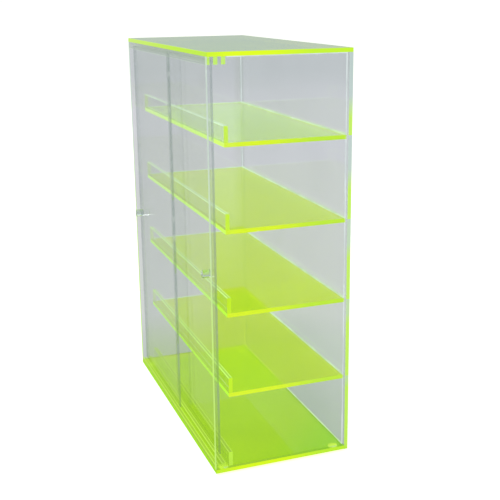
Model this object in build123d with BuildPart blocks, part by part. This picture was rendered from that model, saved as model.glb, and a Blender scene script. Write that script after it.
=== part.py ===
from build123d import *
import os

# Free-standing display cabinet in clear sheet: five compartments behind two by-pass sliding doors.
# Millimetres. X runs from left to right, Y from front to back, Z up.
# The origin is under the middle of the overall outline, on the surface that the feet rest on.

os.makedirs("parts", exist_ok=True)

# Cabinet body
cabinet_width = 375.0
cabinet_depth = 175.0
cabinet_height = 500.0
sheet = 5.0
edge_break = 0.4

# Shelves and the low strips on their front edges
shelf_count = 4
lip_height = 19.0
lip_sheet = 5.0
shelf_setback = 1.5

# Sliding doors
door_sheet = 3.0
door_overlap = 10.5
door_end_gap = 0.25
door_side_gap = 0.5
door_foot_gap = 0.3
door_corner = 1.5
door_edge_break = 0.3
right_door_open = 30.0

# Track rails, and how far the doors reach up between the top ones
rail_sheet = 5.0
lower_rail_height = 5.0
lower_rear_rail_height = 18.0
door_top_hold = 3.0
door_lift_clearance = 1.0

# Door knobs
knob_diameter = 10.0
knob_length = 10.0
knob_inset = 17.0
left_knob_height = 241.0
right_knob_height = 231.0
knob_rim = 0.8

# Bumper feet
foot_diameter = 12.0
foot_tread_diameter = 9.0
foot_height = 2.5
foot_side_inset = 15.0
foot_end_inset = 14.0

# A lifted door clears the lower rails while its upper edge still lies between the top ones
upper_rail_height = door_top_hold + lower_rail_height + door_lift_clearance
channel_width = door_sheet + 2 * door_side_gap
rail_pitch = rail_sheet + channel_width

# Depths, from the front edge of the sides
outer_door_front = rail_sheet + door_side_gap
inner_channel_rear = 2 * rail_pitch
shelf_front_depth = inner_channel_rear + shelf_setback
knob_overhang = max(0.0, knob_length - outer_door_front)

# The overall outline reaches from the front knob to the back panel
front = (knob_overhang - cabinet_depth) / 2
rear = front + cabinet_depth
back_front = rear - sheet
shelf_front = front + shelf_front_depth

# Widths
left = -cabinet_width / 2
right = cabinet_width / 2
inner_left = left + sheet
inner_right = right - sheet
inner_width = inner_right - inner_left

# Heights
base_bottom = foot_height
base_top = base_bottom + sheet
cabinet_top = base_bottom + cabinet_height
top_under = cabinet_top - sheet
level_pitch = cabinet_height / (shelf_count + 1)

# Doors, each as wide as half the opening and half the overlap
door_width = (inner_width - 2 * door_end_gap + door_overlap) / 2
door_bottom = base_top + door_foot_gap
door_top = top_under - upper_rail_height + door_top_hold
door_height = door_top - door_bottom
left_door_left = inner_left + door_end_gap
right_door_right = inner_right - door_end_gap - right_door_open


def finish(piece, label):
    """Name a finished piece and write its own file."""
    piece.part.label = label
    export_step(piece.part, f"parts/{label}.step")


def upright(label, profile_width, profile_depth, x, y, bottom, top, broken_end):
    """Strip between two levels, with the long edges of its free end broken."""
    with BuildPart() as strip:
        with BuildSketch(Plane.XY.offset(bottom)):
            with Locations((x, y)):
                Rectangle(profile_width, profile_depth)
        extrude(amount=top - bottom)
        free_end = strip.faces().sort_by(Axis.Z)[broken_end]
        chamfer(free_end.edges().filter_by(Axis.X), edge_break)
    finish(strip, label)


# Top, lying on the sides and the back
with BuildPart() as top_panel:
    with BuildSketch(Plane.XY.offset(top_under)):
        with Locations((0, (front + rear) / 2)):
            Rectangle(cabinet_width, cabinet_depth)
    extrude(amount=sheet)
    upper_rim = top_panel.faces().sort_by(Axis.Z)[-1].edges()
    corners = top_panel.edges().filter_by(Axis.Z)
    chamfer(upper_rim + corners, edge_break)
finish(top_panel, "top_panel")

# Base, between the front and the back panel
with BuildPart() as base_panel:
    with BuildSketch(Plane.XY.offset(base_bottom)):
        with Locations((0, (front + back_front) / 2)):
            Rectangle(cabinet_width, back_front - front)
    extrude(amount=sheet)
    underside = base_panel.faces().sort_by(Axis.Z)[0].edges()
    outer_rim = underside.sort_by(Axis.Y)[:-1]
    front_corners = base_panel.edges().filter_by(Axis.Z).sort_by(Axis.Y)[:2]
    chamfer(outer_rim + front_corners, edge_break)
finish(base_panel, "base_panel")

# Back, behind the base and the sides and under the top
with BuildPart() as back_panel:
    with BuildSketch(Plane.XZ.offset(-rear)):
        with Locations((0, (base_bottom + top_under) / 2)):
            Rectangle(cabinet_width, top_under - base_bottom)
    extrude(amount=sheet)
    rear_rim = back_panel.faces().sort_by(Axis.Y)[-1].edges()
    chamfer(rear_rim.sort_by(Axis.Z)[:-1], edge_break)
finish(back_panel, "back_panel")


def side_panel(label, outer_face, inward):
    """Side between the base and the top, with its front edge broken on both faces."""
    with BuildPart() as side:
        with BuildSketch(Plane.YZ.offset(outer_face)):
            with Locations(((front + back_front) / 2, (base_top + top_under) / 2)):
                Rectangle(back_front - front, top_under - base_top)
        extrude(amount=inward * sheet)
        front_edge = side.faces().sort_by(Axis.Y)[0].edges().filter_by(Axis.Z)
        chamfer(front_edge, edge_break)
    finish(side, label)


side_panel("left_side_panel", left, 1)
side_panel("right_side_panel", right, -1)


def shelf(number):
    """Shelf between the sides, with the strip that stands on its front edge."""
    shelf_top = base_bottom + number * level_pitch
    with BuildPart() as board:
        with BuildSketch(Plane.XY.offset(shelf_top - sheet)):
            with Locations((0, (shelf_front + back_front) / 2)):
                Rectangle(inner_width, back_front - shelf_front)
        extrude(amount=sheet)
        front_under = board.edges().filter_by(Axis.X).group_by(Axis.Z)[0].sort_by(Axis.Y)[0]
        chamfer(front_under, edge_break)
    finish(board, f"shelf_{number}")
    lip_middle = shelf_front + lip_sheet / 2
    upright(f"shelf_lip_{number}", inner_width, lip_sheet, 0, lip_middle, shelf_top, shelf_top + lip_height, -1)


for number in range(1, shelf_count + 1):
    shelf(number)


# Three rails above and three below leave one channel for each door
for step, place in enumerate(("front", "middle", "rear")):
    rail_middle = front + step * rail_pitch + rail_sheet / 2
    rail_height = lower_rear_rail_height if place == "rear" else lower_rail_height
    upper_end = top_under - upper_rail_height
    upright(f"top_{place}_rail", inner_width, rail_sheet, 0, rail_middle, upper_end, top_under, 0)
    upright(f"bottom_{place}_rail", inner_width, rail_sheet, 0, rail_middle, base_top, base_top + rail_height, -1)


def door(side_name, left_edge, channel, knob_x, knob_height):
    """Door in one of the two channels, with the knob bonded to its front face."""
    door_front = front + outer_door_front + channel * rail_pitch
    with BuildPart() as panel:
        with BuildSketch(Plane.XZ.offset(-(door_front + door_sheet))):
            with Locations((left_edge + door_width / 2, (door_bottom + door_top) / 2)):
                RectangleRounded(door_width, door_height, door_corner)
        extrude(amount=door_sheet)
        faces = panel.faces().filter_by(Axis.Y)
        chamfer(faces.edges(), door_edge_break)
    finish(panel, f"{side_name}_door")
    with BuildPart() as knob:
        with BuildSketch(Plane.XZ.offset(-door_front)):
            with Locations((knob_x, door_bottom + knob_height)):
                Circle(knob_diameter / 2)
        extrude(amount=knob_length)
        fillet(knob.edges().sort_by(Axis.Y)[0], knob_rim)
    finish(knob, f"{side_name}_knob")


door("left", left_door_left, 0, left_door_left + knob_inset, left_knob_height)
door("right", right_door_right - door_width, 1, right_door_right - knob_inset, right_knob_height)


def foot(label, x, y):
    """Bumper foot: a low round pad whose side draws in to a smaller tread."""
    with BuildPart() as pad:
        with BuildSketch(Plane((x, y, 0), x_dir=(1, 0, 0), z_dir=(0, -1, 0))):
            with BuildLine():
                Line((0, foot_height), (foot_diameter / 2, foot_height))
                RadiusArc((foot_diameter / 2, foot_height), (foot_tread_diameter / 2, 0), foot_height * 1.6)
                Line((foot_tread_diameter / 2, 0), (0, 0))
                Line((0, 0), (0, foot_height))
            make_face()
        revolve(axis=Axis((x, y, 0), (0, 0, 1)))
    finish(pad, label)


foot_front = front + foot_end_inset
foot_rear = rear - foot_end_inset
foot_left = left + foot_side_inset
foot_right = right - foot_side_inset
foot("foot_front_left", foot_left, foot_front)
foot("foot_front_right", foot_right, foot_front)
foot("foot_rear_left", foot_left, foot_rear)
foot("foot_rear_right", foot_right, foot_rear)
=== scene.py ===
import logging
import math
from dataclasses import dataclass
from enum import Enum

import bpy
import numpy as np
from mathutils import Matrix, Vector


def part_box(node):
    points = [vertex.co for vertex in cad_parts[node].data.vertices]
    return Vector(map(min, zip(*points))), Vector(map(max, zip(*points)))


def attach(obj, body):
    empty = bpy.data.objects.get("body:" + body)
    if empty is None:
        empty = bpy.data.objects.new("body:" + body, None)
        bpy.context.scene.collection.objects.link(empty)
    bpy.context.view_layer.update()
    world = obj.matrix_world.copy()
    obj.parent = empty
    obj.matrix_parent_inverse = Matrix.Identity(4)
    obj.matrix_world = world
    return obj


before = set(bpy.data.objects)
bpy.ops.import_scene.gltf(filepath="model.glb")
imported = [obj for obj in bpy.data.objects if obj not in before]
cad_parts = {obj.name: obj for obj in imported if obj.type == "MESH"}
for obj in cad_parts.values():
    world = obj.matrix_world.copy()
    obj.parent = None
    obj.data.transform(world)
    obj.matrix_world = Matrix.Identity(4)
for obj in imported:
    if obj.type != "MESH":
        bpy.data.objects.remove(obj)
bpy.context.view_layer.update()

LOG = logging.getLogger("cabinet")

RGB = tuple[float, float, float]
Point = tuple[float, float, float]
Span = tuple[float, float]
Socket = bpy.types.NodeSocket
Material = bpy.types.Material

SHELVES = 4

UP, DOWN = (0.0, 0.0, 1.0), (0.0, 0.0, -1.0)
TO_FRONT, TO_BACK = (0.0, -1.0, 0.0), (0.0, 1.0, 0.0)
TO_LEFT, TO_RIGHT = (-1.0, 0.0, 0.0), (1.0, 0.0, 0.0)

# How much of a face's normal lies along an axis: above FLAT it is square to it, above LEANS it mostly is
FLAT = 0.95
LEANS = 0.5

# Spans of noise over which a mark of the surface fades in
CLOUDS = (0.42, 0.75)
SCRATCHES = (0.66, 0.74)
DRIFT = (0.38, 0.64)
# The last span places painted glints, bright points of painted highlight, at chips in an edge
GLINTS = (0.0, 0.06)

ACRYLIC_INDEX = 1.49

# A cut edge hardly shines
EDGE_SHINE = {"IOR": ACRYLIC_INDEX, "Specular_IOR_Level": 0.03}


class Axis(Enum):
    """The cabinet's axes, by their place in a vector."""

    ACROSS = 0
    DEEP = 1
    UPRIGHT = 2


def shown(red: int, green: int, blue: int) -> RGB:
    """Turn a displayed colour into the linear one that gives it.

    Args:
        red: Red, 0 to 255.
        green: Green, 0 to 255.
        blue: Blue, 0 to 255.

    Returns:
        The linear colour. Each channel c is c / 12.92 up to 0.04045, and ((c + 0.055) / 1.055) to the
        power 2.4 above.
    """
    channels = (channel / 255 for channel in (red, green, blue))
    return tuple(c / 12.92 if c <= 0.04045 else ((c + 0.055) / 1.055) ** 2.4 for c in channels)


def scaled(colour: RGB, share: float) -> RGB:
    """Multiply a colour by a share."""
    return tuple(share * channel for channel in colour)


def put(name: str, data: bpy.types.ID) -> bpy.types.Object:
    """Put new data into the scene as an object.

    Args:
        name: The object's name.
        data: Its mesh, light or camera.

    Returns:
        The object.
    """
    made = bpy.data.objects.new(name, data)
    bpy.context.scene.collection.objects.link(made)
    return made


@dataclass(frozen=True)
class Layout:
    """Places that the pieces of the cabinet share, read from the solids, in metres.

    Attributes:
        left: Inner face of the left side.
        right: Inner face of the right side.
        back: Front face of the back panel.
        floor: Upper face of the base.
        ceiling: Lower face of the top.
        lip_back: Rear face of the strips on the shelves.
        shelf_tops: Upper faces of the shelves, highest first.
        shelf_sheet: Thickness of a shelf.
    """

    left: float
    right: float
    back: float
    floor: float
    ceiling: float
    lip_back: float
    shelf_tops: tuple[float, ...]
    shelf_sheet: float

    @classmethod
    def read(cls) -> "Layout":
        """Read the places from the solids' boxes.

        Returns:
            The layout.
        """
        boards = [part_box(f"shelf_{number}") for number in range(SHELVES, 0, -1)]
        return cls(
            left=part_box("left_side_panel")[1][0],
            right=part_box("right_side_panel")[0][0],
            back=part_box("back_panel")[0][1],
            floor=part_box("base_panel")[1][2],
            ceiling=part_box("top_panel")[0][2],
            lip_back=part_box("shelf_lip_1")[1][1],
            shelf_tops=tuple(high[2] for _, high in boards),
            shelf_sheet=boards[0][1][2] - boards[0][0][2],
        )


class Graph:
    """Adds and links the nodes of one tree."""

    def __init__(self, tree: bpy.types.NodeTree) -> None:
        """Keep the tree that the nodes go into."""
        self.tree = tree

    def node(self, kind: str, **inputs: object) -> bpy.types.Node:
        """Add a node and set its plain inputs.

        Args:
            kind: The node's type name, without its ShaderNode prefix.
            **inputs: Attributes of the node in lower case, or input values by socket name with _ for a blank.

        Returns:
            The new node.
        """
        made = self.tree.nodes.new(f"ShaderNode{kind}")
        for name, value in inputs.items():
            if name.islower() and hasattr(made, name):
                setattr(made, name, value)
            else:
                self.feed(made.inputs[name.replace("_", " ")], value)
        return made

    def feed(self, socket: Socket, value: object) -> None:
        """Give an input a plain value, or link an output to it.

        Args:
            socket: The input.
            value: A number, a colour, a vector or another node's output.
        """
        if isinstance(value, Socket):
            self.tree.links.new(value, socket)
        elif isinstance(value, tuple) and socket.type == "RGBA":
            socket.default_value = (*value, 1.0)
        else:
            socket.default_value = value

    def result(self, kind: str, *values: object, **inputs: object) -> Socket:
        """Add a node and give its first output.

        Args:
            kind: The node's type name, without its ShaderNode prefix.
            *values: Values of its inputs, in their order.
            **inputs: The same by name, as in node().

        Returns:
            The node's first output.
        """
        made = self.node(kind, **inputs)
        for socket, value in zip(made.inputs, values):
            self.feed(socket, value)
        return made.outputs[0]

    def maths(self, operation: str, *values: object) -> Socket:
        """Work out one number from up to three others by a Math node's operation."""
        return self.result("Math", *values, operation=operation)

    def mix(self, share: object, a: Socket, b: Socket) -> Socket:
        """Mix two shaders, with the share of the second."""
        return self.result("MixShader", share, a, b)

    def add(self, a: Socket, b: Socket) -> Socket:
        """Add two shaders' light."""
        return self.result("AddShader", a, b)

    def ramp(self, value: object, span: Span, results: Span = (0.0, 1.0)) -> Socket:
        """Carry a number smoothly from the first result to the second while it crosses a span."""
        return self.result("MapRange", value, *span, *results, interpolation_type="SMOOTHSTEP")

    def blend(self, share: object, a: object, b: object, way: str = "MIX") -> Socket:
        """Mix two colours.

        Args:
            share: How much of the second shows, or of the product of the two.
            a: First colour.
            b: Second colour.
            way: MIX, or MULTIPLY for their product.

        Returns:
            The mixed colour.
        """
        node = self.node("Mix", data_type="RGBA", blend_type=way)
        for index, value in ((0, share), (6, a), (7, b)):
            self.feed(node.inputs[index], value)
        return node.outputs[2]

    def place(self) -> Socket:
        """Place on the object, in metres."""
        return self.node("TexCoord").outputs["Object"]

    def along(self, axis: Axis) -> Socket:
        """Place along one axis of the cabinet, in metres."""
        split = self.node("SeparateXYZ", Vector=self.place())
        return split.outputs[axis.value]

    def faces(self, axis: Axis) -> Socket:
        """Part of the surface's normal along an axis: 1 where the face looks along it, either way."""
        split = self.node("SeparateXYZ", Vector=self.node("TexCoord").outputs["Normal"])
        return self.maths("ABSOLUTE", split.outputs[axis.value])

    def bare_view(self) -> Socket:
        """Pick out what the camera sees with no clear sheet in between.

        Returns:
            1 for such a ray and 0 for all others.
        """
        path = self.node("LightPath")
        straight = self.maths("LESS_THAN", path.outputs["Transparent Depth"], 0.5)
        return self.maths("MULTIPLY", path.outputs["Is Camera Ray"], straight)

    def use(self, group: str, **values: object) -> bpy.types.Node:
        """Put a shared group into the tree, with its values by name as in node()."""
        return self.node("Group", node_tree=bpy.data.node_groups[group], **values)

    def outside(self) -> Socket:
        """Pick out a face that is seen from outside its sheet: 1 there, 0 from within."""
        return self.maths("SUBTRACT", 1.0, self.node("NewGeometry").outputs["Backfacing"])

    def mirror_share(self, head_on: float, grazing: float) -> Socket:
        """How much a polished face mirrors, the same from both of its sides.

        Args:
            head_on: The share mirrored when looked at squarely.
            grazing: The share mirrored at a glancing view.

        Returns:
            The share, head_on + (grazing - head_on) * (1 - cos angle) ^ 5.
        """
        lean = self.node("LayerWeight", Blend=0.5)
        fifth = self.maths("POWER", lean.outputs["Facing"], 5.0)
        return self.maths("MULTIPLY_ADD", fifth, grazing - head_on, head_on)

    def let_through(self, tint: RGB, scale: float, clouded: float) -> Socket:
        """Let light straight through a face, with the faint clouds of cast plastic in its tint.

        Args:
            tint: What the face lets through of each colour.
            scale: Clouds per metre.
            clouded: The share of the tint that is left in a cloud.

        Returns:
            The shader.
        """
        cloud = self.result("TexNoise", Vector=self.place(), Scale=scale, Detail=3.0)
        colour = self.blend(self.ramp(cloud, CLOUDS), tint, scaled(tint, clouded))
        return self.result("BsdfTransparent", Color=colour)

    def glowing(self, base: RGB, light: Socket, **inputs: object) -> Socket:
        """Plastic that shows the light carried to it.

        Args:
            base: Its own colour under that light.
            light: The light's colour.
            **inputs: Further inputs of the shader, as in node().

        Returns:
            The shader.
        """
        lit = {"Base_Color": base, "Emission_Color": light, "Emission_Strength": 1.0}
        return self.result("BsdfPrincipled", **lit, **inputs)


class Group(Graph):
    """A node group for an effect that several finishes share. Its inputs and outputs are named numbers."""

    def __init__(self, name: str, inputs: dict[str, float], outputs: tuple[str, ...]) -> None:
        """Make the group.

        Args:
            name: The group's name.
            inputs: First value by input name.
            outputs: Names of the outputs.
        """
        super().__init__(bpy.data.node_groups.new(name, "ShaderNodeTree"))
        for label, value in inputs.items():
            socket = self.tree.interface.new_socket(label, in_out="INPUT", socket_type="NodeSocketFloat")
            socket.default_value = value
        for label in outputs:
            self.tree.interface.new_socket(label, in_out="OUTPUT", socket_type="NodeSocketFloat")
        self.given = self.tree.nodes.new("NodeGroupInput").outputs
        self.out = self.tree.nodes.new("NodeGroupOutput").inputs


def share_piped_light() -> None:
    """Build the group for the shelves' light that a clear wall carries to its ends.

    Glow is 1 at each level and fades upwards over a share of the space above, which grows from Reach High at
    the top of the cabinet to Reach Low at its base.
    """
    levels = {"Pitch": 0.1, "Levels": 5.0, "First Level": 0.0025}
    fading = {"Reach Low": 1.3, "Reach High": 0.4, "Softness": 0.3}
    group = Group("piped light", {**levels, **fading}, ("Glow",))
    above = group.maths("SUBTRACT", group.along(Axis.UPRIGHT), group.given["First Level"])
    steps = group.maths("DIVIDE", above, group.given["Pitch"])
    span = group.maths("SUBTRACT", group.given["Reach High"], group.given["Reach Low"])
    height = group.maths("DIVIDE", steps, group.given["Levels"])
    reach = group.maths("MULTIPLY_ADD", span, height, group.given["Reach Low"])
    left = group.maths("SUBTRACT", reach, group.maths("FRACT", steps))
    fade = group.maths("DIVIDE", left, group.given["Softness"])
    group.feed(group.out["Glow"], group.result("Clamp", fade))


def share_polish() -> None:
    """Build the group for the marks on a polished plastic face.

    Haze is a faint cloudiness, and Roughness joins it with fine wiping marks.
    """
    group = Group("polish", {"Smooth": 0.02, "Worn": 0.10}, ("Roughness", "Haze"))
    cloud = group.result("TexNoise", Vector=group.place(), Scale=14.0, Detail=3.0, Roughness=0.55)
    haze = group.ramp(cloud, CLOUDS)
    turned = {"Rotation": (0.5, 0.9, 0.3), "Scale": (38.0, 38.0, 900.0)}
    stretch = group.result("Mapping", Vector=group.place(), **turned)
    lines = group.result("TexNoise", Vector=stretch, Scale=1.0, Detail=2.0, Roughness=0.6)
    scratch = group.ramp(lines, SCRATCHES)
    worn = group.maths("MAXIMUM", group.maths("MULTIPLY", haze, 0.4), scratch)
    span = group.maths("SUBTRACT", group.given["Worn"], group.given["Smooth"])
    group.feed(group.out["Roughness"], group.maths("MULTIPLY_ADD", span, worn, group.given["Smooth"]))
    group.feed(group.out["Haze"], haze)


def share_edge_grain() -> None:
    """Build the group for a flame-polished cut edge.

    Drift is a slow change of brightness along the edge, and Nick marks the tiny chips that carry painted
    glints.
    """
    scales = {"Drift Scale": 9.0, "Nick Scale": 60.0, "Nick Level": 0.70}
    group = Group("edge grain", scales, ("Drift", "Nick"))
    slow = group.result("TexNoise", Vector=group.place(), Scale=group.given["Drift Scale"], Detail=2.0)
    fast = group.result("TexNoise", Vector=group.place(), Scale=group.given["Nick Scale"], Detail=1.0)
    over = group.maths("SUBTRACT", fast, group.given["Nick Level"])
    group.feed(group.out["Drift"], group.ramp(slow, DRIFT))
    group.feed(group.out["Nick"], group.ramp(over, GLINTS))


class Finish:
    """A look that is built as one material."""

    def surface(self, graph: Graph) -> Socket:
        """Build the surface.

        Args:
            graph: The material's graph.

        Returns:
            The surface's shader.
        """
        raise NotImplementedError

    def material(self, name: str) -> Material:
        """Build the material.

        Args:
            name: Its name.

        Returns:
            The material.
        """
        made = bpy.data.materials.new(name)
        made.use_nodes = True
        made.node_tree.nodes.clear()
        graph = Graph(made.node_tree)
        graph.feed(graph.node("OutputMaterial").inputs["Surface"], self.surface(graph))
        return made

    def put_on(self, name: str, *nodes: str) -> None:
        """Build the material and put it on CAD nodes.

        Args:
            name: The material's name.
            *nodes: The nodes' names.
        """
        made = self.material(name)
        for node in nodes:
            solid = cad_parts[node]
            if not solid.material_slots:
                solid.data.materials.append(made)
            for slot in solid.material_slots:
                slot.material = made
            LOG.info("%s wears %s", node, name)


@dataclass(frozen=True, kw_only=True)
class Sheet(Finish):
    """What the finishes of both kinds of acrylic sheet share.

    Attributes:
        tint: What one face lets through of each colour.
        head_on: Share of light that a face mirrors when looked at squarely.
        grazing: The same at a glancing view.
        edge_base: Colour of an edge under its light.
        glint: Painted glint at a chip in an edge, a bright point of painted highlight.
        glint_share: How clearly the painted glints at the chips show.
    """

    tint: RGB
    head_on: float = 0.04
    grazing: float
    edge_base: RGB
    glint: RGB
    glint_share: float


@dataclass(frozen=True, kw_only=True)
class FluorescentSheet(Sheet):
    """Yellow-green acrylic that takes in blue light and sends it out of its cut edges.

    Attributes:
        face_light: Light that one face gives off.
        edge_deep: Light of a side edge towards the rear.
        edge_warm: The same towards the front, where it is richest.
        edge_front: Light of a front edge high up.
        edge_pale: The same at its pale left end.
        edge_front_low: Light of a front edge near the base.
        top_share: What the top's front edge keeps of each colour beside a shelf's.
        base_share: The same for all the base's edges, as painted shade so close to the floor.
        arris: Painted highlight on an edge's broken corner, as its bevel would catch the light.
        arris_share: How much that painted highlight replaces the edge's own light.
        rear_span: Depths over which a side edge turns rich from the rear.
        front_span: Depths over which it does so from the front.
        pale_span: Places over which a front edge turns pale to the left.
        low_span: Heights over which it takes its colour near the base.
        top_from: Height above which a front edge is the top's.
        base_below: Height below which an edge is the base's.
    """

    tint: RGB = (0.867, 0.89, 0.13)
    grazing: float = 0.7
    edge_base: RGB = (0.01, 0.02, 0.0)
    glint: RGB = (0.95, 1.0, 0.6)
    glint_share: float = 0.35
    face_light: RGB = (0.057, 0.150, 0.0)
    edge_deep: RGB = shown(198, 243, 60)
    edge_warm: RGB = shown(228, 255, 40)
    edge_front: RGB = (0.74, 1.22, 0.10)
    edge_pale: RGB = (0.80, 1.20, 0.26)
    edge_front_low: RGB = (0.56, 1.12, 0.02)
    top_share: RGB = (0.68, 0.66, 0.50)
    base_share: RGB = (0.88, 0.93, 0.85)
    arris: RGB = shown(205, 240, 90)
    arris_share: float = 0.6
    rear_span: Span = (0.06, -0.02)
    front_span: Span = (-0.088, -0.05)
    pale_span: Span = (0.10, -0.1875)
    low_span: Span = (0.38, 0.15)
    top_from: float = 0.49
    base_below: float = 0.01

    def edge_light(self, graph: Graph) -> Socket:
        """Light of the cut edge: richest near the front right corner, paler to the left and to the back.

        Args:
            graph: The material's graph.

        Returns:
            The colour.
        """
        grain = graph.use("edge grain")
        deep = graph.along(Axis.DEEP)
        rich = graph.ramp(deep, self.front_span, (0.25, 1.0))
        hot = graph.maths("MULTIPLY", graph.ramp(deep, self.rear_span), rich)
        drift = graph.maths("MULTIPLY_ADD", grain.outputs["Drift"], 0.3, -0.15)
        warmth = graph.result("Clamp", graph.maths("ADD", hot, drift))
        glow = graph.blend(warmth, self.edge_deep, self.edge_warm)
        far_left = graph.ramp(graph.along(Axis.ACROSS), self.pale_span)
        front = graph.blend(far_left, self.edge_front, self.edge_pale)
        height = graph.along(Axis.UPRIGHT)
        front = graph.blend(graph.ramp(height, self.low_span), front, self.edge_front_low)
        base = graph.maths("LESS_THAN", height, self.base_below)
        outer = graph.maths("MAXIMUM", graph.maths("GREATER_THAN", height, self.top_from), base)
        front = graph.blend(outer, front, self.top_share, "MULTIPLY")
        glow = graph.blend(graph.maths("GREATER_THAN", graph.faces(Axis.DEEP), LEANS), glow, front)
        # Painted shade on all the base's edges, so close to the floor
        glow = graph.blend(base, glow, self.base_share, "MULTIPLY")
        # Painted glints: bright points of painted highlight at random chips in the edge
        return graph.blend(graph.maths("MULTIPLY", grain.outputs["Nick"], self.glint_share), glow, self.glint)

    def surface(self, graph: Graph) -> Socket:
        """Build the surface.

        Args:
            graph: The material's graph.

        Returns:
            The surface's shader.
        """
        polish = graph.use("polish", Smooth=0.02, Worn=0.09)
        light = graph.result("Emission", Color=self.face_light, Strength=1.0)
        body = graph.add(graph.let_through(self.tint, scale=14.0, clouded=0.97), light)
        shine = graph.result("BsdfGlossy", Color=(0.95, 0.97, 0.95), Roughness=polish.outputs["Roughness"])
        face = graph.mix(graph.mirror_share(self.head_on, self.grazing), body, shine)
        upright = graph.faces(Axis.UPRIGHT)
        # The bevel faces get a painted highlight in place of part of the edge's light
        corner = graph.maths("MULTIPLY", graph.maths("GREATER_THAN", upright, LEANS), self.arris_share)
        colour = graph.blend(corner, self.edge_light(graph), self.arris)
        rim = graph.glowing(self.edge_base, colour, Roughness=0.25, **EDGE_SHINE)
        lit = graph.maths("MULTIPLY", graph.maths("LESS_THAN", upright, FLAT), graph.outside())
        return graph.mix(lit, face, rim)


@dataclass(frozen=True, kw_only=True)
class ClearSheet(Sheet):
    """Colourless acrylic, whose edges pick up the light of the fluorescent sheets that they touch.

    Attributes:
        edge_plain: Painted light of an edge away from any shelf.
        edge_glow: The same where it carries a shelf's light.
        edge_body: How solid an edge looks, 0 to 1.
        edge_through: What it lets through of each colour.
        end_glow: Painted glow of the left and right ends, if they differ.
        reach_low: Share of the lowest space that a shelf's light climbs.
        reach_high: The same at the top of the cabinet.
        foot_glow: Light on the edges that grows towards the base.
        foot_span: Heights over which it grows.
        glint_level: How rare the painted glints at chips are, from 0.5 for many to 0.8 for none.
        end_inside: How clearly the ends show from inside the sheet, 0 to 1.
        crown: How solid a level edge's middle looks beside its corners, 0 to 1.
        crown_span: Distances from the middle over which the corners' lines begin.
        middle: Depth of the strip's middle, or of any rail's.
        pitch: Distance between two rails' middles.
        thin: The axis that the sheet is thin along.
    """

    grazing: float = 1.0
    edge_base: RGB = (0.02, 0.02, 0.02)
    glint: RGB = (0.85, 0.92, 0.88)
    glint_share: float = 0.6
    edge_plain: RGB
    edge_glow: RGB
    edge_body: float = 0.8
    edge_through: RGB = (0.85, 0.88, 0.86)
    end_glow: RGB | None = None
    reach_low: float = 1.3
    reach_high: float = 0.35
    foot_glow: float = 0.0
    foot_span: Span = (0.42, 0.13)
    glint_level: float = 0.70
    end_inside: float = 0.0
    crown: float = 1.0
    crown_span: Span = (0.0011, 0.0017)
    middle: float = 0.0
    pitch: float = 0.009
    thin: Axis = Axis.DEEP

    def edge_light(self, graph: Graph) -> Socket:
        """Painted light of the cut edge: a plain glow, with the shelves' light climbing from each level.

        Args:
            graph: The material's graph.

        Returns:
            The colour.
        """
        piped = graph.use("piped light", Reach_Low=self.reach_low, Reach_High=self.reach_high)
        low = graph.ramp(graph.along(Axis.UPRIGHT), self.foot_span, (0.0, self.foot_glow))
        glow = graph.maths("MAXIMUM", piped.outputs["Glow"], low)
        grain = graph.use("edge grain", Drift_Scale=22.0, Nick_Scale=75.0, Nick_Level=self.glint_level)
        # Painted glints: bright points of painted highlight at random chips in the edge
        chips = graph.maths("MULTIPLY", grain.outputs["Nick"], self.glint_share)
        plain = graph.blend(chips, self.edge_plain, self.glint)
        colour = graph.blend(glow, plain, self.edge_glow)
        if self.end_glow:
            end = graph.maths("GREATER_THAN", graph.faces(Axis.ACROSS), LEANS)
            warm = graph.blend(grain.outputs["Drift"], self.end_glow, scaled(self.end_glow, 0.9))
            colour = graph.blend(end, colour, warm)
        return colour

    def corner_lines(self, graph: Graph) -> Socket:
        """Mask that leaves a level edge clear between two fine lines along its corners.

        With s for (y - middle) / pitch, the distance from the nearest middle is |s - s rounded| times pitch.

        Args:
            graph: The material's graph.

        Returns:
            1 on the lines and off the level edges, and crown between the lines.
        """
        past = graph.maths("SUBTRACT", graph.along(Axis.DEEP), self.middle)
        steps = graph.maths("DIVIDE", past, self.pitch)
        off = graph.maths("ABSOLUTE", graph.maths("SUBTRACT", steps, graph.maths("ROUND", steps)))
        line = graph.ramp(graph.maths("MULTIPLY", off, self.pitch), self.crown_span, (self.crown, 1.0))
        level = graph.maths("GREATER_THAN", graph.faces(Axis.UPRIGHT), FLAT)
        return graph.maths("MAXIMUM", line, graph.maths("SUBTRACT", 1.0, level))

    def surface(self, graph: Graph) -> Socket:
        """Build the surface.

        Args:
            graph: The material's graph.

        Returns:
            The surface's shader.
        """
        polish = graph.use("polish", Smooth=0.015, Worn=0.08)
        through = graph.let_through(self.tint, scale=9.0, clouded=0.985)
        shine = graph.result("BsdfGlossy", Color=(0.96, 0.97, 0.97), Roughness=polish.outputs["Roughness"])
        face = graph.mix(graph.mirror_share(self.head_on, self.grazing), through, shine)
        # The edge gives off its painted light, plain or carried up from the shelves
        rim = graph.glowing(self.edge_base, self.edge_light(graph), Roughness=0.2, **EDGE_SHINE)
        beyond = graph.result("BsdfTransparent", Color=self.edge_through)
        end = graph.maths("GREATER_THAN", graph.faces(Axis.ACROSS), LEANS)
        inside = graph.maths("MULTIPLY", end, self.end_inside)
        body = graph.maths("MULTIPLY", graph.maths("MAXIMUM", graph.outside(), inside), self.edge_body)
        if self.crown < 1.0:
            body = graph.maths("MULTIPLY", body, self.corner_lines(graph))
        band = graph.mix(body, beyond, rim)
        edge = graph.maths("LESS_THAN", graph.faces(self.thin), FLAT)
        return graph.mix(edge, face, band)


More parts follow.
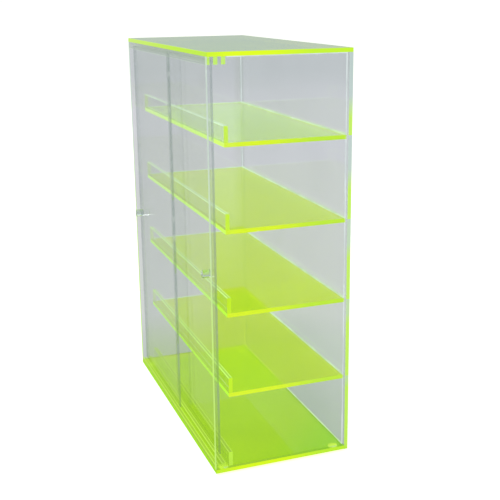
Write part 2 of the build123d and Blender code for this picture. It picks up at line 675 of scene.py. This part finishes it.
@dataclass(frozen=True)
class TurnedClear(Finish):
    """Colourless acrylic turned to a knob.

    Attributes:
        tint: Its own colour.
        haze: Its colour where it is cloudy.
        shade: What its shadow lets through of each colour.
        rough: Its roughness where it is smooth.
        worn: Its roughness where it is scratched.
    """

    tint: RGB = (0.93, 0.97, 0.96)
    haze: RGB = (0.88, 0.92, 0.90)
    shade: RGB = (0.90, 0.92, 0.91)
    rough: float = 0.03
    worn: float = 0.11

    def surface(self, graph: Graph) -> Socket:
        """Build the surface.

        Args:
            graph: The material's graph.

        Returns:
            The surface's shader.
        """
        polish = graph.use("polish", Smooth=self.rough, Worn=self.worn)
        looks = {
            "Base_Color": graph.blend(polish.outputs["Haze"], self.tint, self.haze),
            "Roughness": polish.outputs["Roughness"],
        }
        glass = graph.result("BsdfPrincipled", Transmission_Weight=1.0, IOR=ACRYLIC_INDEX, **looks)
        clear = graph.result("BsdfTransparent", Color=self.shade)
        shadow = graph.node("LightPath").outputs["Is Shadow Ray"]
        return graph.mix(shadow, glass, clear)


@dataclass(frozen=True)
class SoftBumper(Finish):
    """Soft clear plastic of a stuck-on foot, milky where it is pressed flat, with a painted glow for the
    light its milky body scatters.

    Attributes:
        milky_glow: Painted glow that it gives off, standing for the light its milky body scatters.
        skin: Its surface's colour under that light.
        tint: What it lets through of each colour.
        body: How milky it is, 0 to 1.
    """

    milky_glow: RGB = shown(225, 255, 200)
    skin: RGB = (0.12, 0.13, 0.11)
    tint: RGB = (0.93, 0.95, 0.92)
    body: float = 0.62

    def surface(self, graph: Graph) -> Socket:
        """Build the surface.

        Args:
            graph: The material's graph.

        Returns:
            The surface's shader.
        """
        polish = graph.use("polish", Smooth=0.25, Worn=0.5)
        grain = graph.use("edge grain", Drift_Scale=160.0, Nick_Scale=420.0)
        # Painted glow of the milky body, a little uneven along the foot
        cloud = graph.blend(grain.outputs["Drift"], self.milky_glow, scaled(self.milky_glow, 0.8))
        soft = graph.glowing(self.skin, cloud, IOR=1.41, Roughness=polish.outputs["Roughness"])
        clear = graph.result("BsdfTransparent", Color=self.tint)
        return graph.mix(self.body, clear, soft)


@dataclass(frozen=True)
class WeldCement(Finish):
    """The thin line of solvent weld that shows as a light thread along a joint.

    Attributes:
        light: Its light's colour.
        glint: Its painted glint, where the cement gleams.
        base: Its own colour under that light.
        tint: What it lets through of each colour.
        body: How solid it looks, 0 to 1.
    """

    light: RGB
    glint: RGB = (0.95, 1.0, 0.95)
    base: RGB = (0.03, 0.03, 0.03)
    tint: RGB = (0.97, 0.98, 0.97)
    body: float = 0.9

    def surface(self, graph: Graph) -> Socket:
        """Build the surface.

        Args:
            graph: The material's graph.

        Returns:
            The surface's shader.
        """
        grain = graph.use("edge grain", Drift_Scale=30.0, Nick_Scale=180.0)
        colour = graph.blend(grain.outputs["Drift"], self.light, scaled(self.light, 0.86))
        # Painted glints where the cement gleams
        colour = graph.blend(grain.outputs["Nick"], colour, self.glint)
        thread = graph.glowing(self.base, colour, Roughness=0.2, IOR=1.46)
        clear = graph.result("BsdfTransparent", Color=self.tint)
        return graph.mix(self.body, clear, thread)


@dataclass(frozen=True)
class Joint:
    """One inside corner that a weld runs along.

    Attributes:
        start: Where the corner starts.
        end: Where it ends.
        up: Direction along the first face, away from the corner.
        out: The same along the second.
        size: Its fillet's size beside the others'.
    """

    start: Point
    end: Point
    up: Point
    out: Point
    size: float = 1.0


@dataclass
class WeldBeads:
    """The fine hollow fillets of cement along a set of joints, as one mesh.

    Attributes:
        name: The piece's name.
        joints: The corners to fill.
        leg: Height of the fillet on each face, in metres.
        unevenness: How much the leg varies, as a share.
        waves: Least and most turn, in radians, of its waves along a joint.
        stations: Cross sections along each joint.
        arc: Points on each cross section's hollow.
    """

    name: str
    joints: list[Joint]
    leg: float = 0.0011
    unevenness: float = 0.3
    waves: Span = (6.0, 60.0)
    stations: int = 90
    arc: int = 5

    def shell(self, joint: Joint, seed: int) -> tuple[np.ndarray, np.ndarray, np.ndarray]:
        """Work out one bead.

        The cross section is the corner and a hollow quarter circle between the two faces: with t from 0 to a
        quarter turn it is leg * (1 - cos t) along out and leg * (1 - sin t) along up. The leg at a station is
        leg * size * (1 + unevenness * the mean of three sines of random phase).

        Args:
            joint: The corner.
            seed: Seed of the phases.

        Returns:
            The points, the four-sided faces between stations, and the two end faces.
        """
        chance = np.random.default_rng(seed)
        start, end, up, out = (np.array(v) for v in (joint.start, joint.end, joint.up, joint.out))
        along = np.linspace(0.0, 1.0, self.stations)
        waves = chance.uniform(*self.waves, (3, 1))
        phase = chance.uniform(0.0, 2 * math.pi, (3, 1))
        sway = np.sin(waves * along + phase).mean(axis=0)
        leg = self.leg * joint.size * (1.0 + self.unevenness * sway)
        turn = np.linspace(0.0, math.pi / 2, self.arc)
        across = np.concatenate([[0.0], 1.0 - np.cos(turn)])
        rise = np.concatenate([[0.0], 1.0 - np.sin(turn)])
        spine = start + along[:, None] * (end - start)
        section = across[:, None] * out + rise[:, None] * up
        points = (spine[:, None, :] + leg[:, None, None] * section[None, :, :]).reshape(-1, 3)
        count = self.arc + 1
        ring = np.arange(count)
        following = (ring + 1) % count
        near = np.arange(self.stations - 1)[:, None] * count
        far = near + count
        quads = np.stack([near + ring, near + following, far + following, far + ring], axis=-1)
        ends = np.stack([ring[::-1], ring + (self.stations - 1) * count])
        quads = quads.reshape(-1, 4)
        if np.dot(np.cross(out, up), end - start) > 0:
            quads, ends = quads[:, ::-1], ends[:, ::-1]
        return points, quads, ends

    def build(self, body: str, slot: str, material: Material) -> None:
        """Build the beads' mesh and fix it to a body.

        Args:
            body: The body that it rides on.
            slot: The record's material slot; not used.
            material: Its finish.
        """
        points, faces, offset = [], [], 0
        for seed, joint in enumerate(self.joints):
            shell, quads, ends = self.shell(joint, seed)
            points.append(shell)
            faces += (quads + offset).tolist() + (ends + offset).tolist()
            offset += len(shell)
        mesh = bpy.data.meshes.new(self.name)
        mesh.from_pydata(np.concatenate(points).tolist(), [], faces)
        mesh.shade_smooth()
        mesh.materials.append(material)
        piece = put(self.name, mesh)
        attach(piece, body)
        LOG.info("%s: %d joints, %d faces", self.name, len(self.joints), len(faces))


@dataclass
class Shelving:
    """Top, base and shelves in fluorescent sheet, with the strips on the shelves' front edges.

    Attributes:
        layout: Shared places.
        lid: Finish of the top.
        high: Finish of the highest shelf, which looks cooler at its low angle: a copy of the same sheet with
            a cooler tint and less red in its painted face light.
        base: Finish of the base, a copy whose painted face light has a little blue.
        sheet: Finish of the other shelves, a copy with stronger painted face light and a darker tint.
        strip: Finish of the strips.
        cement: Finish of the welds.
        rear_weld: Size of the welds behind the shelves beside the others.
        strip_weld: The same behind the strips.
    """

    layout: Layout
    lid: FluorescentSheet = FluorescentSheet(grazing=1.0)
    high: FluorescentSheet = FluorescentSheet(
        tint=(0.835, 0.89, 0.16), face_light=(0.050, 0.150, 0.0), grazing=0.95
    )
    base: FluorescentSheet = FluorescentSheet(face_light=(0.057, 0.150, 0.016))
    sheet: FluorescentSheet = FluorescentSheet(tint=(0.78, 0.78, 0.13), face_light=(0.109, 0.222, 0.0))
    strip: ClearSheet = ClearSheet(
        tint=(0.985, 0.99, 0.98), head_on=0.02, grazing=0.22,
        edge_plain=(0.84, 1.12, 0.72), edge_glow=(0.72, 1.20, 0.22), end_glow=shown(208, 252, 16),
        reach_low=0.6, reach_high=0.1, edge_body=0.9, end_inside=0.9, crown=0.35, middle=-0.06325,
    )
    cement: WeldCement = WeldCement(light=shown(214, 242, 196))
    rear_weld: float = 1.6
    strip_weld: float = 0.35

    def joints(self) -> list[Joint]:
        """List the shelves' corners with the back and the left side, and the strips' with the shelves.

        Returns:
            The joints.
        """
        place = self.layout
        found = []
        for top in place.shelf_tops:
            rear = ((place.left, place.back, top), (place.right, place.back, top))
            found.append(Joint(*rear, up=UP, out=TO_FRONT, size=self.rear_weld))
            under = tuple((x, y, z - place.shelf_sheet) for x, y, z in rear)
            found.append(Joint(*under, up=DOWN, out=TO_FRONT))
            flank = ((place.left, place.lip_back, top), (place.left, place.back, top))
            found.append(Joint(*flank, up=UP, out=TO_RIGHT))
            strip = ((place.left, place.lip_back, top), (place.right, place.lip_back, top))
            found.append(Joint(*strip, up=UP, out=TO_BACK, size=self.strip_weld))
        rear = ((place.left, place.back, place.floor), (place.right, place.back, place.floor))
        found.append(Joint(*rear, up=UP, out=TO_FRONT))
        return found

    def dress(self) -> None:
        """Put the finishes on the nodes and lay the welds."""
        self.lid.put_on("fluorescent top", "top_panel")
        self.high.put_on("fluorescent high shelf", f"shelf_{SHELVES}")
        self.base.put_on("fluorescent base", "base_panel")
        self.sheet.put_on("fluorescent sheet", *(f"shelf_{number}" for number in range(1, SHELVES)))
        self.strip.put_on("shelf strip", *(f"shelf_lip_{number}" for number in range(1, SHELVES + 1)))
        cement = self.cement.material("shelf weld")
        WeldBeads("shelf_welds", self.joints()).build("cabinet", "edge_glow_acrylic", cement)


@dataclass
class Walls:
    """Sides and back in colourless sheet.

    Attributes:
        layout: Shared places.
        side: Finish of the two sides.
        back: Finish of the back.
        cement: Finish of the welds.
        weld_leg: Height of a weld on each face, in metres.
    """

    layout: Layout
    side: ClearSheet = ClearSheet(
        tint=(0.945, 0.955, 0.952), edge_plain=shown(203, 219, 208), edge_glow=shown(196, 242, 95),
        reach_low=0.2, reach_high=0.04, foot_glow=0.85, thin=Axis.ACROSS,
    )
    back: ClearSheet = ClearSheet(
        tint=(0.948, 0.955, 0.965), edge_plain=shown(186, 206, 201), edge_glow=shown(192, 244, 20),
        grazing=0.7, foot_glow=0.5,
    )
    cement: WeldCement = WeldCement(light=shown(224, 234, 234))
    weld_leg: float = 0.0014

    def joints(self) -> list[Joint]:
        """List the upright corners between the sides and the back, and the sides' corners with the top.

        Returns:
            The joints.
        """
        place = self.layout
        found = []
        for x, inward in ((place.left, TO_RIGHT), (place.right, TO_LEFT)):
            upright = ((x, place.back, place.floor), (x, place.back, place.ceiling))
            found.append(Joint(*upright, up=inward, out=TO_FRONT))
            level = ((x, place.lip_back, place.ceiling), (x, place.back, place.ceiling))
            found.append(Joint(*level, up=DOWN, out=inward))
        return found

    def dress(self) -> None:
        """Put the finishes on the nodes and lay the welds."""
        self.side.put_on("clear side", "left_side_panel", "right_side_panel")
        self.back.put_on("clear back", "back_panel")
        cement = self.cement.material("wall weld")
        WeldBeads("wall_welds", self.joints(), leg=self.weld_leg).build("cabinet", "clear_acrylic", cement)


@dataclass
class Track:
    """The rails above and below that guide the doors.

    Attributes:
        rail: Finish of a rail.
    """

    rail: ClearSheet = ClearSheet(
        tint=(0.96, 0.975, 0.94), grazing=0.7,
        edge_plain=shown(203, 228, 190), edge_glow=shown(198, 240, 90), end_glow=shown(204, 255, 74),
        reach_low=0.6, reach_high=0.1, edge_body=0.85, crown=0.35, middle=-0.08275,
    )

    def dress(self) -> None:
        """Put the finish on the nodes."""
        levels, places = ("top", "bottom"), ("front", "middle", "rear")
        self.rail.put_on("clear rail", *(f"{level}_{place}_rail" for level in levels for place in places))


@dataclass
class Doors:
    """Two sliding doors with their knobs.

    Attributes:
        sheet: Finish of the doors.
        knob: Finish of the knobs.
    """

    sheet: ClearSheet = ClearSheet(
        tint=(0.948, 0.955, 0.953), grazing=0.9, glint_level=0.63,
        edge_plain=shown(170, 182, 176), edge_glow=shown(160, 195, 110), edge_through=(0.76, 0.79, 0.78),
        reach_low=0.8, reach_high=0.0, edge_body=0.3,
    )
    knob: TurnedClear = TurnedClear()

    def dress(self) -> None:
        """Put the finishes on the nodes."""
        self.sheet.put_on("clear door", "left_door", "right_door")
        self.knob.put_on("clear knob", "left_knob", "right_knob")


@dataclass
class Feet:
    """Four clear bumper feet.

    Attributes:
        pad: Finish of a foot.
    """

    pad: SoftBumper = SoftBumper()

    def dress(self) -> None:
        """Put the finish on the nodes."""
        ends, sides = ("front", "rear"), ("left", "right")
        self.pad.put_on("clear bumper", *(f"foot_{end}_{side}" for end in ends for side in sides))


@dataclass(frozen=True)
class FloorPaint(Finish):
    """Floor that is white where it is seen bare, and a soft grey backdrop through and in the clear sheets,
    with painted shadow and painted green light by the cabinet and painted room tones in mirrored views.

    Attributes:
        eye: Where the camera stands, in metres.
        half_width: Half of the cabinet's width.
        half_depth: Half of its depth.
        paint: The floor's own colour.
        lift: Light that it adds to look white.
        backdrop: Its tone as seen through the clear sheets.
        far_backdrop: The same beyond a line far behind the cabinet.
        far_line: A point of that line, as X and Y.
        far_turn: The line's direction, in degrees from the X axis.
        far_border: Half of the width over which the tones blend there.
        left_share: What the floor keeps of each colour behind the left side.
        sharp_border: Half of the width of a sharp border between tones.
        below: The tone under the cabinet, in its green light.
        below_rear: The same towards its right rear corner.
        rear_span: Sums of X and Y over which that corner's tone grows.
        beside_tone: Painted shadow just outside the cabinet's outline.
        beside_span: Distances from the outline over which that tone grows.
        shade_reach: How far the cabinet shades the floor softly.
        mirrored: The tone in mirrored views.
        spill: The same close to the cabinet, in its green light.
        spill_reach: How far that light reaches.
        unlit: The tone of the room behind the camera, in mirrored views.
        unlit_span: Distances to the right over which the floor takes it.
        daylight: A cool tone beyond it, which the right side's front part mirrors.
        daylight_turn: Direction of its border, in degrees from the X axis.
        daylight_span: Distances to the right over which it grows.
    """

    eye: Point
    half_width: float = 0.1875
    half_depth: float = 0.0875
    paint: RGB = (0.80, 0.80, 0.80)
    lift: RGB = (0.62, 0.62, 0.62)
    backdrop: RGB = (0.835, 0.83, 0.87)
    far_backdrop: RGB = (0.70, 0.72, 0.74)
    far_line: Span = (-4.29, 1.43)
    far_turn: float = 72.7
    far_border: float = 1.5
    left_share: RGB = (0.90, 0.905, 0.89)
    sharp_border: float = 0.02
    below: RGB = (0.42, 0.58, 0.29)
    below_rear: RGB = (0.26, 0.53, 0.20)
    rear_span: Span = (0.12, 0.25)
    beside_tone: RGB = (0.56, 0.59, 0.62)
    beside_span: Span = (0.0, 0.007)
    shade_reach: float = 0.22
    mirrored: RGB = (0.54, 0.58, 0.57)
    spill: RGB = (0.47, 0.64, 0.22)
    spill_reach: float = 0.26
    unlit: RGB = (0.34, 0.37, 0.36)
    unlit_span: Span = (0.2, 0.7)
    daylight: RGB = (0.92, 0.88, 1.20)
    daylight_turn: float = 199.1
    daylight_span: Span = (0.8, 2.0)

    def beside(self, graph: Graph) -> Socket:
        """How far a point lies outside the cabinet's outline, in metres, and 0 under it.

        Args:
            graph: The floor's graph.

        Returns:
            The distance.
        """
        past = []
        for axis, half in ((Axis.ACROSS, self.half_width), (Axis.DEEP, self.half_depth)):
            over = graph.maths("SUBTRACT", graph.maths("ABSOLUTE", graph.along(axis)), half)
            past.append(graph.maths("POWER", graph.maths("MAXIMUM", over, 0.0), 2.0))
        return graph.maths("SQRT", graph.maths("ADD", *past))

    @staticmethod
    def past_line(graph: Graph, start: Span, turn: float, border: float) -> Socket:
        """Whether a point lies to the left of a line, with a soft border.

        The distance past it is the point less the start, times the line's normal.

        Args:
            graph: The floor's graph.
            start: A point of the line, as X and Y.
            turn: The line's direction, in degrees from the X axis.
            border: Half of the border's width.

        Returns:
            The share.
        """
        angle = math.radians(turn)
        normal = (-math.sin(angle), math.cos(angle))
        offset = sum(n * p for n, p in zip(normal, start))
        past = graph.maths("MULTIPLY_ADD", graph.along(Axis.ACROSS), normal[0], -offset)
        past = graph.maths("MULTIPLY_ADD", graph.along(Axis.DEEP), normal[1], past)
        return graph.ramp(past, (-border, border))

    def seen_through(self, graph: Graph, beside: Socket) -> Socket:
        """Tone of the floor as the clear sheets show it, with the cabinet's painted green light under it and
        painted shadow beside it.

        Args:
            graph: The floor's graph.
            beside: The distance outside the cabinet's outline.

        Returns:
            The tone.
        """
        grain = graph.result("TexNoise", Vector=graph.place(), Scale=1.3, Detail=1.0)
        tone = graph.blend(grain, scaled(self.backdrop, 0.985), self.backdrop)
        far = self.past_line(graph, self.far_line, self.far_turn, self.far_border)
        tone = graph.blend(far, tone, self.far_backdrop)
        sight = math.degrees(math.atan2(self.half_depth - self.eye[1], -self.half_width - self.eye[0]))
        left = self.past_line(graph, self.eye[:2], sight, self.sharp_border)
        tone = graph.blend(left, tone, self.left_share, "MULTIPLY")
        diagonal = graph.maths("ADD", graph.along(Axis.ACROSS), graph.along(Axis.DEEP))
        # Painted green light under the cabinet and painted shadow beside it, fading out away from it
        below = graph.blend(graph.ramp(diagonal, self.rear_span), self.below, self.below_rear)
        shade = graph.blend(graph.ramp(beside, self.beside_span), below, self.beside_tone)
        away = graph.result("Clamp", graph.maths("DIVIDE", beside, self.shade_reach))
        return graph.blend(away, shade, tone)

    def seen_mirrored(self, graph: Graph, beside: Socket) -> Socket:
        """Tone of the floor as the clear sheets mirror it.

        The right side shows the floor as an eye sees it from the camera's place mirrored in that side. The
        daylight tone's border starts there.

        Args:
            graph: The floor's graph.
            beside: The distance outside the cabinet's outline.

        Returns:
            The tone.
        """
        near = graph.blend(graph.ramp(beside, (0.0, self.spill_reach)), self.spill, self.mirrored)
        across = graph.along(Axis.ACROSS)
        eye = (2 * self.half_width - self.eye[0], self.eye[1])
        front = self.past_line(graph, eye, self.daylight_turn, self.sharp_border)
        daylight = graph.maths("MULTIPLY", front, graph.ramp(across, self.daylight_span))
        room = graph.blend(daylight, self.unlit, self.daylight)
        return graph.blend(graph.ramp(across, self.unlit_span), near, room)

    def surface(self, graph: Graph) -> Socket:
        """Build the surface.

        Args:
            graph: The material's graph.

        Returns:
            The surface's shader.
        """
        beside = self.beside(graph)
        mirrored = graph.node("LightPath").outputs["Is Glossy Ray"]
        tone = graph.blend(mirrored, self.seen_through(graph, beside), self.seen_mirrored(graph, beside))
        veiled = graph.result("Emission", Color=tone, Strength=1.0)
        paint = graph.result("BsdfDiffuse", Color=self.paint)
        lift = graph.result("Emission", Color=self.lift, Strength=1.0)
        return graph.mix(graph.bare_view(), veiled, graph.add(paint, lift))


@dataclass(frozen=True)
class Lamp:
    """One soft square light that looks at the cabinet's middle.

    Attributes:
        name: Its name.
        place: Where it hangs.
        watts: Its power.
        size: Its side in metres.
        target: The point that it looks at.
    """

    name: str
    place: Point
    watts: float
    size: float = 2.6
    target: Point = (0.0, 0.0, 0.25)

    def hang(self) -> None:
        """Hang the light. Sheets don't mirror it."""
        data = bpy.data.lights.new(self.name, "AREA")
        data.size, data.energy = self.size, self.watts
        lamp = put(self.name, data)
        lamp.location = self.place
        lamp.visible_glossy = False
        aim = np.array(self.target) - np.array(self.place)
        flat = math.hypot(aim[0], aim[1])
        lamp.rotation_euler = (math.atan2(flat, -aim[2]), 0.0, math.atan2(aim[1], aim[0]) - math.pi / 2)


@dataclass
class Studio:
    """Pale floor, soft lights and the camera of the product picture.

    Attributes:
        eye: Where the camera stands, in metres.
        turn: The camera's turn about X, Y and Z, in degrees.
        focal: Focal length in pixels.
        centre: The principal point in pixels from the top left.
        frame_px: Width and height of the frame in pixels.
        sensor_mm: Width of the sensor.
        floor_half: Half of the floor's side.
        horizon: The room's tone just above the horizon.
        sky: Tones that follow, each with an axis and the span of a ray's direction there.
        lamps: The lights.
    """

    eye: Point = (1.1380, -0.38175, 0.5620)
    turn: Point = (75.47, 0.57, 69.38)
    focal: float = 915.1
    centre: Span = (259.2, 231.2)
    frame_px: float = 500.0
    sensor_mm: float = 36.0
    floor_half: float = 120.0
    horizon: RGB = (0.50, 0.55, 0.63)
    sky: tuple[tuple[str, Span, RGB], ...] = (
        ("Z", (0.05, 0.13), (0.92, 1.01, 1.08)),
        ("Z", (0.26, 0.40), (0.92, 1.00, 0.72)),
        ("Y", (0.0, -0.25), (0.34, 0.38, 0.37)),
        ("X", (0.1, 0.5), (0.34, 0.37, 0.36)),
    )
    lamps: tuple[Lamp, ...] = (
        Lamp("soft key", (1.6, -2.2, 2.6), 55.0),
        Lamp("soft fill", (-2.4, -1.0, 2.2), 40.0),
    )

    def camera(self) -> None:
        """Set up the camera. The lens is focal length over frame width, times the sensor's width."""
        data = bpy.data.cameras.new("camera")
        data.sensor_width = self.sensor_mm
        data.lens = self.focal / self.frame_px * self.sensor_mm
        data.shift_x = (self.frame_px / 2 - self.centre[0]) / self.frame_px
        data.shift_y = (self.centre[1] - self.frame_px / 2) / self.frame_px
        data.clip_start, data.clip_end = 0.01, 1000.0
        camera = put("camera", data)
        camera.location = self.eye
        camera.rotation_euler = tuple(math.radians(angle) for angle in self.turn)
        bpy.context.scene.camera = camera

    def floor(self) -> None:
        """Lay a plain floor."""
        corners = self.floor_half * np.array([(-1, -1, 0), (1, -1, 0), (1, 1, 0), (-1, 1, 0)])
        mesh = bpy.data.meshes.new("floor")
        mesh.from_pydata(corners.tolist(), [], [(0, 1, 2, 3)])
        mesh.materials.append(FloorPaint(self.eye).material("pale floor"))
        put("floor", mesh)

    def world(self) -> None:
        """Fill the room with even light: white to the eye, and the sky's tones where a sheet mirrors it."""
        world = bpy.data.worlds.new("room")
        bpy.context.scene.world = world
        world.use_nodes = True
        world.node_tree.nodes.clear()
        graph = Graph(world.node_tree)
        split = graph.node("SeparateXYZ", Vector=graph.node("TexCoord").outputs["Generated"])
        tone = self.horizon
        for axis, span, following in self.sky:
            tone = graph.blend(graph.ramp(split.outputs[axis], span), tone, following)
        colour = graph.blend(graph.bare_view(), tone, (1.0, 1.0, 1.0))
        room = graph.result("Background", Color=colour, Strength=1.0)
        graph.feed(graph.node("OutputWorld").inputs["Surface"], room)

    def render_rules(self) -> None:
        """Let rays cross all the sheets, and show colours as they are."""
        view, rays = bpy.context.scene.view_settings, bpy.context.scene.cycles
        view.view_transform, view.look = "Standard", "None"
        rays.max_bounces = 24
        rays.glossy_bounces = 8
        rays.transmission_bounces = 16
        rays.transparent_max_bounces = 96
        rays.caustics_reflective = False
        rays.caustics_refractive = False
        rays.use_denoising = True

    def build(self) -> None:
        """Build the whole studio."""
        self.camera()
        self.floor()
        self.world()
        for lamp in self.lamps:
            lamp.hang()
        self.render_rules()


def main() -> None:
    """Build each sub-assembly in order."""
    logging.basicConfig(level=logging.INFO, format="%(name)s: %(message)s")
    for share in (share_piped_light, share_polish, share_edge_grain):
        share()
    layout = Layout.read()
    Studio().build()
    for assembly in (Walls(layout), Shelving(layout), Track(), Doors(), Feet()):
        assembly.dress()
        LOG.info("%s dressed", type(assembly).__name__)


if __name__ == "__main__":
    main()
